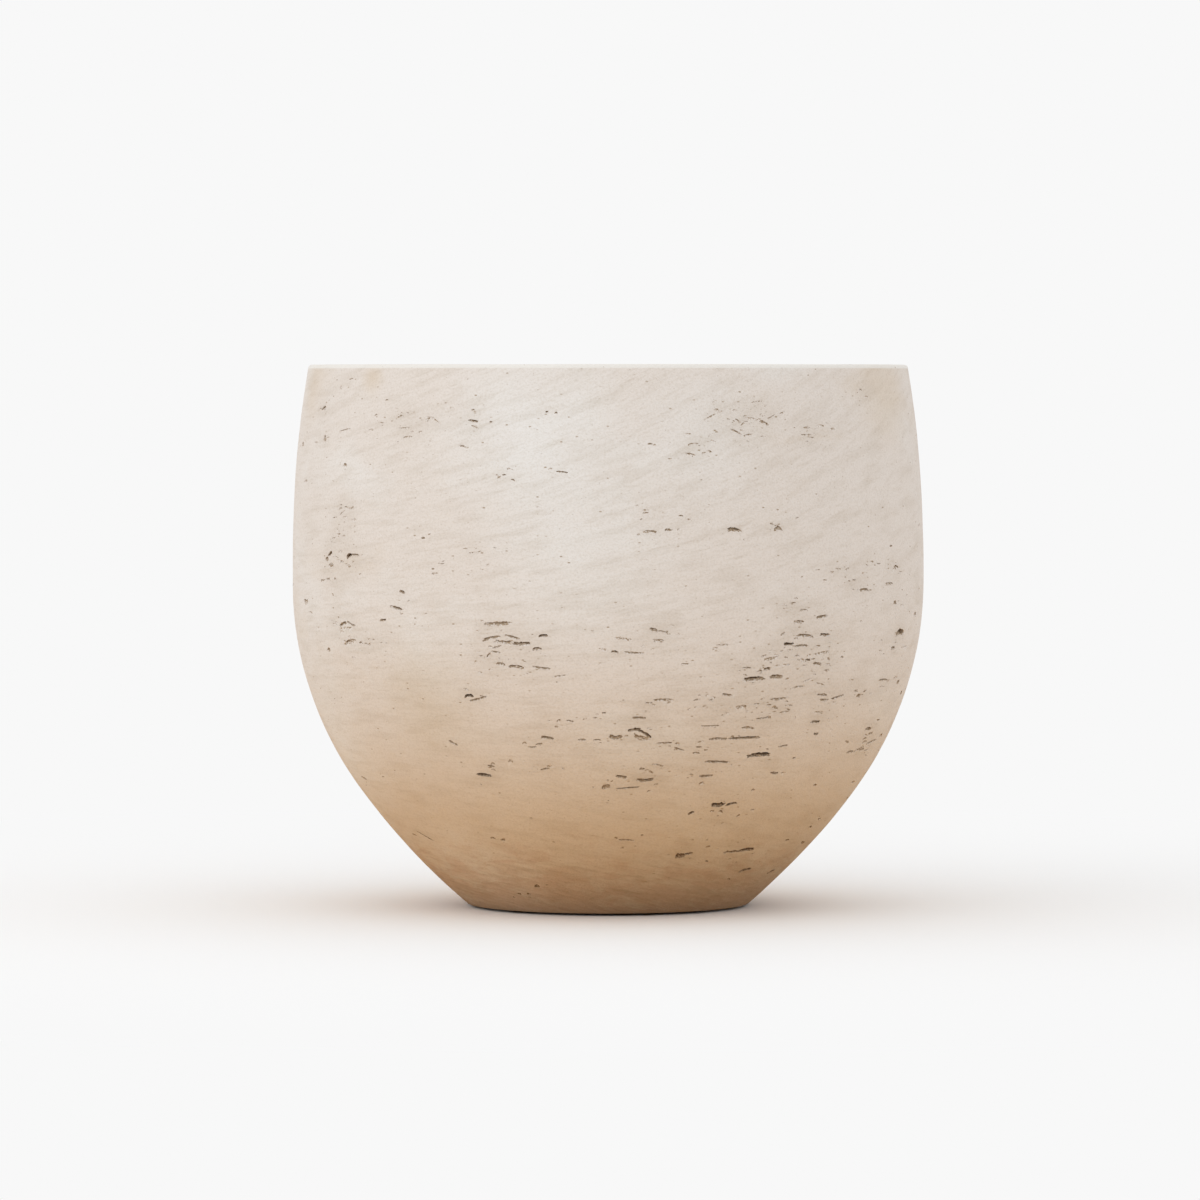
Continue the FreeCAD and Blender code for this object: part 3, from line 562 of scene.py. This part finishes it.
def pit_cutter(rounds, place, normal, size, rise, seed):
    """Ragged lump that cuts a pit: blunt at its ends, arched, deepest at its top edge."""
    long, high, deep = size
    turn = Matrix.Rotation(rise, 3, normal)
    side = turn @ UP.cross(normal).normalized()
    slope = normal.cross(side)
    outside, undercut, ragged = 0.3, 0.6, 0.6  # shares of the lump's half size
    stretch = Vector((max(1, 0.6 * long / high), 1, 1))  # a long pit is as finely ragged as a short one
    offset = Vector((seed * 7.31, seed * 3.17, seed * 5.73))  # each seed has its own part of the noise
    arch = 0.3 + 1.3 * noise.noise(offset)
    bm = bmesh.new()
    bmesh.ops.create_icosphere(bm, subdivisions=rounds, radius=1)
    for vert in bm.verts:
        spot = vert.co * stretch
        lumpy = ragged * sum(noise.noise(spot * fine + offset) / fine ** 0.6 for fine in (1.5, 3.7, 8.3))
        blunt = sum(c ** 4 for c in vert.co) ** -0.25  # makes the ball a rounded box
        along, across, out = vert.co * blunt
        along *= 1 + 0.4 * lumpy
        across *= 1 + lumpy
        out = out * (1 + lumpy) + outside - undercut * across
        across += arch * (0.4 - along * along)
        vert.co = place + side * along * long / 2 + slope * across * high / 2
        vert.co += normal * out * deep / (1 - outside)
    for face in bm.faces:
        face.smooth = True
    reach = max((vert.co - place).length for vert in bm.verts)
    mesh = bpy.data.meshes.new("pit_cutter")
    bm.to_mesh(mesh)
    bm.free()
    return Cutter(mesh, place, reach)


def pits_with_crumbs(draw):
    """Front pits, the crumbs drawn beside them, and the single holes."""
    pits = list(FRONT_PITS)
    across, up = CRUMB_SPREAD
    for x, y, long, high, *_ in FRONT_PITS:
        for _ in range(draw.choice(CRUMB_COUNTS)):
            beside = draw.gauss(x, across + long / 2), draw.gauss(y, up + high / 2)
            crumb = draw.uniform(*CRUMB_LENGTHS)
            size = crumb, crumb * draw.uniform(*CRUMB_SLIMNESS)
            pits.append((*beside, *size, draw.gauss(0, CRUMB_TILT), draw.uniform(*CRUMB_DEPTHS)))
    return pits + [(x, y, *SINGLE_HOLE_SIZE) for x, y in SINGLE_HOLES]


def front_pits(shell_object, stage, draw):
    """Cutters for the pits that the photograph shows, with crumbs of pits beside them."""
    pixel = stage.view_width / PHOTO_PIXELS
    least_upright, least_turned = 0.5, 0.35  # how far a pit is stretched at most
    for seed, (x, y, long, high, rise, deep) in enumerate(pits_with_crumbs(draw)):
        hit, place, normal, _ = shell_object.ray_cast(*camera_ray(stage, x, y))
        if not hit or place.z > RIM_TOP - RIM_CLEAR:
            continue  # a crumb that would lie past the wall's outline or on the rim
        # The wall turns away from the camera at the sides and leans under at the foot, so a pit is
        # larger there than it looks.
        facing = math.hypot(normal.x, normal.y)
        upright = max(least_upright, facing)
        turned = max(least_turned, -normal.y / facing)
        along = Vector((math.cos(math.radians(rise)) / turned, math.sin(math.radians(rise)) / upright))
        size = (
            long * pixel * along.length, PIT_SHARPNESS * high * pixel / upright, deep * PIT_DEPTH_UNIT
        )
        rounds = 4 if long * high > LARGE_PIT else 3 if long * high > MIDDLE_PIT else 2
        yield pit_cutter(rounds, place, normal, size, math.atan2(along.y, along.x), seed)


def scattered_pits(shell_object, draw):
    """Cutters for the sides and back, in clusters like those in front, with single pits between."""
    clusters, singles = 26, 120
    fewest, most = 5, 16  # pits in a cluster
    cluster_turns = math.radians(78), math.radians(282)  # measured round the axis from the front
    single_turns = 1.25, 5.03
    cluster_heights = 0.05, 0.30, 0.16  # lowest, highest and most common
    single_heights = 0.02, 0.325
    turn_spread, height_spread = 0.10, 0.013  # within a cluster
    lowest, highest = 0.012, RIM_TOP - 0.008
    past_wall, front = 0.5, -0.1  # a radius outside the wall, and where the side in the photograph begins
    places = []
    for _ in range(clusters):
        middle = draw.uniform(*cluster_turns)
        height = draw.triangular(*cluster_heights)
        for _ in range(draw.randint(fewest, most)):
            place = draw.gauss(middle, turn_spread), draw.gauss(height, height_spread)
            places.append((*place, draw.random() ** 2))
    for _ in range(singles):
        place = draw.uniform(*single_turns), draw.uniform(*single_heights)
        places.append((*place, draw.random() ** 4))
    for seed, (turn, height, share) in enumerate(places, start=1000):
        height = min(max(height, lowest), highest)
        away = Vector((math.sin(turn), -math.cos(turn), 0))
        if away.y < front:
            continue  # the photograph shows what is there
        hit, place, normal, _ = shell_object.ray_cast(away * past_wall + UP * height, -away)
        if not hit:
            raise RuntimeError("no wall behind a scattered pit")
        long = (2 + 11 * share) * MM
        high = max(1.1 * MM, long * draw.uniform(0.16, 0.36))
        deep = draw.uniform(0.3, 0.7) * MM + 0.8 * MM * share
        rise = math.radians(draw.gauss(0, 12))
        yield pit_cutter(3 if share > 0.25 else 2, place, normal, (long, high, deep), rise, seed)


def set_apart(cutters):
    """Sorts the cutters into groups in which none touches another, so that each group is a sound solid."""
    groups = []
    for cutter in cutters:
        for group in groups:
            if all((cutter.place - other.place).length > cutter.reach + other.reach for other in group):
                group.append(cutter)
                break
        else:
            groups.append([cutter])
    return groups


def carve(piece, cutters, material):
    """Cuts a group of cutters out of the piece for good; the cut faces get the material."""
    bm = bmesh.new()
    for cutter in cutters:
        bm.from_mesh(cutter.mesh)
        bpy.data.meshes.remove(cutter.mesh)
    joined = new_piece("pit_cutters", bm, material)
    cut = piece.modifiers.new("pits", "BOOLEAN")
    cut.object = joined
    cut.operation = "DIFFERENCE"
    cut.solver = "MANIFOLD"
    cut.material_mode = "TRANSFER"
    graph = bpy.context.evaluated_depsgraph_get()
    carved = bpy.data.meshes.new_from_object(piece.evaluated_get(graph), depsgraph=graph)
    piece.modifiers.clear()
    piece.data = carved
    bpy.data.objects.remove(joined)


def mark_pits(piece, uncut, pits):
    """Stores, for the materials, how deep each vertex lies in a pit and how many pits crowd round it."""
    mesh = piece.data
    surface = BVHTree.FromPolygons([v.co for v in uncut.vertices], [p.vertices for p in uncut.polygons])
    depths = [0.0] * len(mesh.vertices)
    for face in mesh.polygons:
        if face.material_index == PITTED:
            for i in face.vertices:
                depths[i] = surface.find_nearest(mesh.vertices[i].co)[3]
    mesh.attributes.new("pit_depth", "FLOAT", "POINT").data.foreach_set("value", depths)

    near, typical = 22 * MM, 4 * MM
    places = KDTree(len(pits))
    for i, pit in enumerate(pits):
        places.insert(pit.place, i)
    places.balance()

    def crowding(place):
        return sum(
            (1 - away / near) ** 2 * min(1, pits[i].reach / typical)
            for _, i, away in places.find_range(place, near)
        )

    crowds = [crowding(vert.co) for vert in mesh.vertices]
    mesh.attributes.new("pit_crowd", "FLOAT", "POINT").data.foreach_set("value", crowds)


# Materials


def in_cells(tree, place, wide, high):
    """Place counted in cells that are so many millimetres wide and high."""
    scale = (1 / (wide * MM), 1 / (wide * MM), 1 / (high * MM))
    return add_node(tree, "VectorMath", {0: place, 1: scale}, operation="MULTIPLY").outputs[0]


def patches(tree, place, wide, high, **inputs):
    """Noise whose patches are about so many millimetres wide and high."""
    spread = in_cells(tree, place, wide, high)
    return add_node(tree, "TexNoise", {"Vector": spread, "Scale": 1.0, **inputs}).outputs["Fac"]


Layer = namedtuple("Layer", "value low high most tint blend", defaults=("MIX",))


def lay(tree, tone, layers):
    """Lays tints over a tone: a tint's share rises softly to its most as its value goes from low to high."""
    for value, low, high, most, tint, blend in layers:
        share = add_node(
            tree, "MapRange", {0: value, 1: low, 2: high, 4: most}, interpolation_type="SMOOTHSTEP"
        ).outputs[0]
        mix = add_node(tree, "Mix", {0: share, 6: tone, 7: rgba(tint)}, data_type="RGBA", blend_type=blend)
        tone = mix.outputs[2]
    return tone


def pinholes(tree, place, crowd):
    """Dots for the pinholes too small to model: faint ones all over, more of them where pits crowd."""
    crowd_share, onset, faintest = 0.15, 0.04, 0.1
    dot_edge, dot_core = 0.28, 0.1  # radii in cells
    dots = 0.0
    # Two kinds: the width and height in millimetres of the cell round a dot, how rare it is and how dark.
    for wide, high, rare, darkest in ((4.6, 2.2, 0.87, 0.9), (2.6, 1.5, 0.8, 0.5)):
        spread = in_cells(tree, place, wide, high)
        cells = add_node(tree, "TexVoronoi", {"Vector": spread, "Scale": 1.0})
        chance, strength, _ = add_node(tree, "SeparateColor", {0: cells.outputs["Color"]}).outputs
        likely = add_node(
            tree, "Math", {0: crowd, 1: crowd_share, 2: chance}, operation="MULTIPLY_ADD"
        ).outputs[0]
        present = add_node(tree, "MapRange", {0: likely, 1: rare, 2: rare + onset}).outputs[0]
        faded = add_node(tree, "MapRange", {0: strength, 3: faintest, 4: darkest}).outputs[0]
        dot = add_node(
            tree, "MapRange", {0: cells.outputs["Distance"], 1: dot_edge, 2: dot_core},
            interpolation_type="SMOOTHSTEP",
        ).outputs[0]
        for share in (present, faded):
            dot = add_node(tree, "Math", {0: dot, 1: share}, operation="MULTIPLY").outputs[0]
        dots = add_node(tree, "Math", {0: dot, 1: dots}, operation="MAXIMUM").outputs[0]
    return dots


def lime_washed_cement(shell):
    """Cast fibre cement under brushed lime wash: chalky, with slanting strokes and stains; the foot is darker
    and warmer, part dust and part painted shade, and the rim and some patches are lighter with painted light.
    """
    material, tree, place = new_material("lime_washed_fibre_cement")
    x, y, z = add_node(tree, "SeparateXYZ", {0: place}).outputs
    crowd = add_node(tree, "Attribute", attribute_name="pit_crowd").outputs["Fac"]

    # Brush strokes rise to the right under the rim and fall to the right at the foot.
    foot_slope, rim_slope = -0.28, 0.5
    slant = add_node(
        tree, "MapRange", {0: z, 1: UNDERSIDE, 2: RIM_TOP, 3: foot_slope, 4: rim_slope}
    ).outputs[0]
    lift = add_node(tree, "Math", {0: slant, 1: x}, operation="MULTIPLY").outputs[0]
    level = add_node(tree, "Math", {0: z, 1: lift}, operation="SUBTRACT").outputs[0]
    brushed = add_node(tree, "CombineXYZ", {0: x, 1: y, 2: level}).outputs[0]
    strokes = patches(tree, brushed, 30, 6, Detail=1.5, Roughness=0.5)
    hairs = patches(tree, brushed, 12, 1.8, Detail=2.0, Roughness=0.6)
    bristles = patches(tree, brushed, 14, 1.8, Detail=3.0, Roughness=0.6, Distortion=0.6)
    smudges = patches(tree, place, 22, 8, Detail=4.0, Roughness=0.65, Distortion=0.8)
    clouds = patches(tree, place, 95, 70, Detail=3.0, Roughness=0.55)
    stains = patches(tree, place, 120, 55, Detail=4.0, Roughness=0.65, Distortion=0.6)
    # Sand of about half a millimetre, drawn coarser so that it shows.
    grain = patches(tree, place, 1.4, 1.1, Detail=3.0, Roughness=0.7)
    near_foot = add_node(
        tree, "MapRange", {0: z, 1: UNDERSIDE + 0.6 * shell.foot_reach, 2: UNDERSIDE}
    ).outputs[0]
    streaks, rosy = (
        add_node(tree, "Math", {0: pattern, 1: near_foot}, operation="MULTIPLY").outputs[0]
        for pattern in (bristles, smudges)
    )
    dots = pinholes(tree, place, crowd)

    layers = [
        Layer(clouds, 0.5, 0.75, 0.4, shell.lime),
        # Part dust, part painted shade: darker and warmer towards the bottom.
        Layer(z, UNDERSIDE + shell.foot_reach, UNDERSIDE, 0.42, shell.foot),
        Layer(stains, 0.56, 0.8, 0.28, shell.ochre),
    ]
    # Stains, and the patches of painted highlight and painted light in the lime tint.
    for spot, reach, most, tint in STAINS_AND_PAINTED_LIGHT:
        away = add_node(tree, "VectorMath", {0: place, 1: spot}, operation="DISTANCE").outputs["Value"]
        edge = add_node(tree, "Math", {0: stains, 1: -reach, 2: away}, operation="MULTIPLY_ADD").outputs[0]
        layers.append(Layer(edge, 0.5 * reach, -0.5 * reach, most, getattr(shell, tint)))
    layers += [
        Layer(strokes, 0.46, 0.7, 0.26, shell.brush_shade, "MULTIPLY"),
        Layer(hairs, 0.48, 0.75, 0.25, shell.brush_shade, "MULTIPLY"),
        Layer(bristles, 0.58, 0.74, 0.25, shell.brush_shade, "MULTIPLY"),
        Layer(streaks, 0.25, 0.6, 0.6, shell.brush_shade, "MULTIPLY"),
        Layer(rosy, 0.25, 0.5, 0.6, shell.foot_smudge, "MULTIPLY"),
        Layer(grain, 0.4, 0.75, 0.5, shell.brush_shade, "MULTIPLY"),
        Layer(crowd, 0.2, 2.5, 0.25, shell.brush_shade, "MULTIPLY"),
        # Painted light, with some thick wash: the top of the rim is lighter, as lit from above.
        Layer(z, RIM_TOP - 2.7 * MM, RIM_TOP - 1.9 * MM, 0.8, shell.rim_lime_and_light),
        Layer(dots, 0.0, 1.0, 1.0, shell.pit_cement),
    ]
    tone = lay(tree, rgba(shell.wash), layers)

    height = add_node(tree, "Math", {0: strokes, 1: 0.5, 2: grain}, operation="MULTIPLY_ADD").outputs[0]
    height = add_node(tree, "Math", {0: height, 1: dots}, operation="SUBTRACT").outputs[0]
    bump = add_node(tree, "Bump", {"Strength": 1.0, "Distance": 0.25 * MM, "Height": height}).outputs[0]
    rough = add_node(tree, "MapRange", {0: strokes, 1: 0.3, 2: 0.8, 3: 0.78, 4: 0.92}).outputs[0]
    surface = add_node(
        tree, "BsdfPrincipled",
        {"Base Color": tone, "Roughness": rough, "IOR": 1.5, "Specular IOR Level": 0.3, "Normal": bump},
    )
    add_node(tree, "OutputMaterial", {"Surface": surface.outputs[0]})
    return material


def hand_laid_cement(shell):
    """Bare fibre cement pressed in by hand: sandy and grey, with dabs, air holes and wash from the rim."""
    material, tree, place = new_material("hand_laid_fibre_cement")
    z = add_node(tree, "SeparateXYZ", {0: place}).outputs[2]
    strokes = patches(tree, place, 45, 8, Detail=4.0, Roughness=0.6)
    hairs = patches(tree, place, 16, 1.8, Detail=3.0, Roughness=0.6)
    dabs = patches(tree, place, 34, 24, Detail=3.0, Roughness=0.55, Distortion=1.0)
    # Sand of about half a millimetre, drawn coarser so that it shows.
    sand = patches(tree, place, 1.8, 1.8, Detail=3.0, Roughness=0.75)
    holes = pinholes(tree, place, 1.0)
    washed = add_node(tree, "Math", {0: strokes, 1: 0.16, 2: z}, operation="MULTIPLY_ADD").outputs[0]
    washed = add_node(tree, "Math", {0: hairs, 1: 0.07, 2: washed}, operation="MULTIPLY_ADD").outputs[0]
    darker = tuple(0.78 * c for c in shell.raw_cement)
    tone = lay(tree, rgba(darker), [
        Layer(dabs, 0.35, 0.65, 1.0, shell.raw_cement),
        Layer(washed, RIM_TOP + 0.035, RIM_TOP + 0.075, 0.9, shell.wash),
        Layer(sand, 0.4, 0.65, 0.8, shell.brush_shade, "MULTIPLY"),
        # Air holes are darker, part grime and part painted shade.
        Layer(holes, 0.0, 1.0, 0.8, shell.pit_dirt_and_shade),
        # Painted light, with some thick wash: the top of the inner wall is lighter, as lit from above.
        Layer(z, RIM_TOP - 0.012, RIM_TOP - 0.004, 0.9, shell.rim_lime_and_light),
    ])
    height = add_node(tree, "Math", {0: dabs, 1: 2.0, 2: sand}, operation="MULTIPLY_ADD").outputs[0]
    height = add_node(tree, "Math", {0: height, 1: holes}, operation="SUBTRACT").outputs[0]
    bump = add_node(tree, "Bump", {"Strength": 1.0, "Distance": 0.6 * MM, "Height": height}).outputs[0]
    surface = add_node(
        tree, "BsdfPrincipled",
        {"Base Color": tone, "Roughness": 0.92, "IOR": 1.5, "Specular IOR Level": 0.25, "Normal": bump},
    )
    add_node(tree, "OutputMaterial", {"Surface": surface.outputs[0]})
    return material


def pit_cement(shell):
    """Crumbly cement inside a pit: the wash ends a little way in, and the deep bottom darkens with grime and
    painted shade, more so at the foot.
    """
    material, tree, place = new_material("bare_pit_cement")
    z = add_node(tree, "SeparateXYZ", {0: place}).outputs[2]
    crumb = patches(tree, place, 1.2, 0.9, Detail=3.0, Roughness=0.7)
    depth = add_node(tree, "Attribute", attribute_name="pit_depth").outputs["Fac"]
    # Painted shade: pits near the foot are darkened further, as they lie in shade under light from above.
    foot_pit_shade = add_node(
        tree, "MapRange", {0: z, 1: UNDERSIDE + shell.foot_reach, 2: UNDERSIDE, 4: 1.3 * MM}
    ).outputs[0]
    dirt_and_shade = add_node(tree, "Math", {0: depth, 1: foot_pit_shade}, operation="ADD").outputs[0]
    uneven = add_node(tree, "MapRange", {0: crumb, 1: 0.32, 2: 0.68, 3: -0.8 * MM, 4: 1.1 * MM}).outputs[0]
    dirt_and_shade = add_node(tree, "Math", {0: dirt_and_shade, 1: uneven}, operation="ADD").outputs[0]
    tone = lay(tree, rgba(shell.wash), [
        # Part dust, part painted shade: darker and warmer towards the bottom.
        Layer(z, UNDERSIDE + shell.foot_reach, UNDERSIDE, 0.42, shell.foot),
        Layer(dirt_and_shade, 0.2 * MM, 0.8 * MM, 1.0, shell.pit_cement),
        # Painted shade and grime: the deeper the pit, the darker its bottom.
        Layer(dirt_and_shade, 0.9 * MM, 2.2 * MM, 1.0, shell.pit_dirt_and_shade),
    ])
    bump = add_node(tree, "Bump", {"Strength": 0.8, "Distance": 0.4 * MM, "Height": crumb}).outputs[0]
    surface = add_node(
        tree, "BsdfPrincipled",
        {"Base Color": tone, "Roughness": 0.95, "IOR": 1.5, "Specular IOR Level": 0.2, "Normal": bump},
    )
    add_node(tree, "OutputMaterial", {"Surface": surface.outputs[0]})
    return material


def moulded_rubber(plug):
    """Black moulded rubber: even and dull, with cement dust lying on it."""
    material, tree, place = new_material("moulded_rubber")
    dust = patches(tree, place, 9, 9, Detail=5.0, Roughness=0.7)
    # Grain of the mould, a few tenths of a millimetre, drawn coarser so that it shows.
    grain = patches(tree, place, 0.7, 0.7, Detail=2.0)
    tone = lay(tree, rgba(plug.rubber), [Layer(dust, 0.45, 0.8, 0.6, plug.dust)])
    bump = add_node(tree, "Bump", {"Strength": 0.4, "Distance": 0.1 * MM, "Height": grain}).outputs[0]
    surface = add_node(
        tree, "BsdfPrincipled", {"Base Color": tone, "Roughness": 0.6, "IOR": 1.52, "Normal": bump}
    )
    add_node(tree, "OutputMaterial", {"Surface": surface.outputs[0]})
    return material


def foam_rubber(pad):
    """Closed-cell foam rubber: matt, with fine cells."""
    material, tree, place = new_material("closed_cell_foam_rubber")
    # Cells of about 0.3 mm, drawn coarser so that they show.
    cell = 0.8 * MM
    cells = add_node(tree, "TexVoronoi", {"Vector": place, "Scale": 1 / cell}).outputs["Distance"]
    lighter = tuple(min(1, 1.8 * c) for c in pad.foam)
    tone = lay(tree, rgba(pad.foam), [Layer(cells, 0.0, 1.0, 1.0, lighter)])
    bump = add_node(tree, "Bump", {"Strength": 0.6, "Distance": 0.2 * MM, "Height": cells}).outputs[0]
    surface = add_node(
        tree, "BsdfPrincipled", {"Base Color": tone, "Roughness": 0.9, "IOR": 1.5, "Normal": bump}
    )
    add_node(tree, "OutputMaterial", {"Surface": surface.outputs[0]})
    return material


def seen_directly(tree):
    """1 for rays from the camera, a gloss or glass, and 0 for the light that falls on the planter."""
    rays = add_node(tree, "LightPath").outputs
    seen = rays["Is Camera Ray"]
    for kind in ("Is Glossy Ray", "Is Transmission Ray"):
        seen = add_node(tree, "Math", {0: seen, 1: rays[kind]}, operation="MAXIMUM").outputs[0]
    return seen


def studio_floor(stage):
    """Pale, matt floor: it looks like the backdrop with a shadow on it, and throws back warm light."""
    material, tree, place = new_material("pale_studio_floor")
    away = add_node(tree, "VectorMath", {0: place}, operation="LENGTH").outputs["Value"]
    shadow_reach, backdrop_reach = 0.25, 0.9
    far = add_node(
        tree, "MapRange", {0: away, 1: shadow_reach, 2: backdrop_reach}, interpolation_type="SMOOTHSTEP"
    ).outputs[0]
    lit = add_node(tree, "BsdfDiffuse", {"Color": rgba(stage.backdrop)}).outputs[0]
    even = add_node(tree, "Emission", {"Color": rgba(stage.backdrop), "Strength": 1.0}).outputs[0]
    shown = add_node(tree, "MixShader", {0: far, 1: lit, 2: even}).outputs[0]

    reach, fade = stage.bounce_reach, 0.1
    thrown = lay(tree, rgba(stage.far_bounce), [Layer(away, reach + fade, reach, 1.0, stage.bounce)])
    # Painted shadow in the bounce colour: the floor throws back less light near the planter's base, shifted
    # right, away from the key light.
    from_shadow = add_node(
        tree, "VectorMath", {0: place, 1: (stage.shadow_shift, 0, 0)}, operation="DISTANCE"
    ).outputs["Value"]
    shaded = add_node(
        tree, "MapRange",
        {0: from_shadow, 1: stage.shadow_core, 2: stage.shadow_edge, 3: stage.shadow_share},
        interpolation_type="SMOOTHSTEP",
    ).outputs[0]
    thrown = add_node(tree, "VectorMath", {0: thrown, "Scale": shaded}, operation="SCALE").outputs[0]
    bounce = add_node(tree, "BsdfDiffuse", {"Color": thrown}).outputs[0]
    surface = add_node(tree, "MixShader", {0: seen_directly(tree), 1: bounce, 2: shown})
    add_node(tree, "OutputMaterial", {"Surface": surface.outputs[0]})
    return material


# Stage


def key_light(stage):
    """Square area lamp that faces the planter."""
    lamp = bpy.data.lights.new("key_softbox", "AREA")
    lamp.size = stage.softbox_size
    lamp.energy = stage.softbox_power
    holder = bpy.data.objects.new("key_softbox", lamp)
    place = Vector(stage.softbox_place)
    holder.location = place
    holder.rotation_euler = (UP * stage.softbox_aim - place).to_track_quat("-Z", "Y").to_euler()
    bpy.context.scene.collection.objects.link(holder)


def soft_studio(stage):
    """World that lights the planter evenly with white, and that the camera sees as the backdrop."""
    world = bpy.data.worlds.new("soft_studio")
    world.use_nodes = True
    tree = world.node_tree
    tree.nodes.clear()
    light = add_node(tree, "Background", {"Color": (1, 1, 1, 1), "Strength": stage.even_light}).outputs[0]
    white = add_node(tree, "Background", {"Color": rgba(stage.backdrop), "Strength": 1.0}).outputs[0]
    surface = add_node(tree, "MixShader", {0: seen_directly(tree), 1: light, 2: white})
    add_node(tree, "OutputWorld", {"Surface": surface.outputs[0]})
    return world


def photo_camera(stage):
    """Camera that sees the planter as the photograph does."""
    lens = bpy.data.cameras.new("photo_camera")
    camera = bpy.data.objects.new("photo_camera", lens)
    bpy.context.scene.collection.objects.link(camera)
    place, forward = camera_ray(stage, PHOTO_PIXELS / 2, PHOTO_PIXELS / 2)
    camera.location = place
    camera.rotation_euler = forward.to_track_quat("-Z", "Y").to_euler()
    aim = Vector((stage.aim_across, 0, stage.aim_height))
    lens.sensor_width = 36
    lens.lens = lens.sensor_width * (aim - place).length / stage.view_width
    lens.clip_end = 100
    return camera


# Operators, panel and registration


class PLANTER_OT_make_shell(bpy.types.Operator):
    """Build the cast shell with its pits"""

    bl_idname = "planter.make_shell"
    bl_label = "Make Shell"

    def execute(self, context):
        shell = context.scene.planter_shell
        bm = turned_shell(shell)
        piece = new_piece("shell_casting", bm, lime_washed_cement(shell), hand_laid_cement(shell))
        context.view_layer.update()

        uncut = piece.data
        draw = random.Random(shell.pit_seed)
        pits = [*front_pits(piece, context.scene.planter_stage, draw), *scattered_pits(piece, draw)]
        bare = pit_cement(shell)
        for group in set_apart(pits):
            carve(piece, group, bare)
        mark_pits(piece, uncut, pits)
        piece.data.set_sharp_from_angle(angle=shell.sharp_edge)
        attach(piece, "planter")
        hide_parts("planter_shell")
        return {"FINISHED"}


class PLANTER_OT_make_plug(bpy.types.Operator):
    """Finish the drain plug in moulded rubber"""

    bl_idname = "planter.make_plug"
    bl_label = "Make Plug"

    def execute(self, context):
        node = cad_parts["drain_plug"]
        node.data.materials.clear()
        node.data.materials.append(moulded_rubber(context.scene.planter_plug))
        return {"FINISHED"}


class PLANTER_OT_make_pads(bpy.types.Operator):
    """Build the four foam-rubber foot pads"""

    bl_idname = "planter.make_pads"
    bl_label = "Make Pads"

    def execute(self, context):
        pad = context.scene.planter_pads
        foam = foam_rubber(pad)
        for node in PAD_NODES:
            low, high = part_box(node)
            radius = (high.x - low.x) / 2
            bm = bmesh.new()
            bmesh.ops.create_cone(
                bm, cap_ends=True, segments=pad.sides, radius1=radius, radius2=radius, depth=high.z - low.z,
                matrix=Matrix.Translation((low + high) / 2),
            )
            for face in bm.faces:
                face.smooth = True
            rims = [edge for edge in bm.edges if edge.verts[0].co.z == edge.verts[1].co.z]
            bmesh.ops.bevel(
                bm, geom=rims, offset=pad.edge, affect="EDGES", segments=4, profile=0.5, material=-1
            )
            piece = new_piece(node.replace("foot_pad", "foam_pad"), bm, foam)
            piece.data.set_sharp_from_angle(angle=pad.sharp_edge)
            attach(piece, "planter")
            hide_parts(node)
        return {"FINISHED"}


class PLANTER_OT_make_stage(bpy.types.Operator):
    """Set up the floor, the soft light and the camera"""

    bl_idname = "planter.make_stage"
    bl_label = "Make Stage"

    def execute(self, context):
        scene = context.scene
        stage = scene.planter_stage
        scene.view_settings.view_transform = "Standard"

        bm = bmesh.new()
        bmesh.ops.create_grid(bm, x_segments=2, y_segments=2, size=stage.floor_reach)
        floor = new_piece("studio_floor", bm, studio_floor(stage))
        floor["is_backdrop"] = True

        key_light(stage)
        scene.world = soft_studio(stage)
        scene.camera = photo_camera(stage)
        return {"FINISHED"}


class PLANTER_PT_panel(bpy.types.Panel):
    """Planter tools in the sidebar"""

    bl_idname = "PLANTER_PT_panel"
    bl_label = "Planter"
    bl_space_type = "VIEW_3D"
    bl_region_type = "UI"
    bl_category = "Planter"

    def draw(self, context):
        for operator in OPERATORS:
            self.layout.operator(operator.bl_idname)
        for name in SETTINGS:
            box = self.layout.box()
            settings = getattr(context.scene, name)
            for key in settings.__annotations__:
                box.prop(settings, key)


SETTINGS = {
    "planter_shell": ShellSettings,
    "planter_plug": PlugSettings,
    "planter_pads": PadSettings,
    "planter_stage": StageSettings,
}
OPERATORS = (PLANTER_OT_make_shell, PLANTER_OT_make_plug, PLANTER_OT_make_pads, PLANTER_OT_make_stage)


def register():
    for cls in (*SETTINGS.values(), *OPERATORS, PLANTER_PT_panel):
        bpy.utils.register_class(cls)
    for name, cls in SETTINGS.items():
        setattr(bpy.types.Scene, name, PointerProperty(type=cls))


def unregister():
    for name in SETTINGS:
        delattr(bpy.types.Scene, name)
    for cls in (PLANTER_PT_panel, *reversed(OPERATORS), *reversed(SETTINGS.values())):
        bpy.utils.unregister_class(cls)


def main():
    register()
    bpy.ops.planter.make_shell()
    bpy.ops.planter.make_plug()
    bpy.ops.planter.make_pads()
    bpy.ops.planter.make_stage()
    boxes = {"cad": CAD_BOX, "visual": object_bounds()}
    {name: [list(corner) for corner in box] for name, box in boxes.items()}


if __name__ == "__main__":
    main()
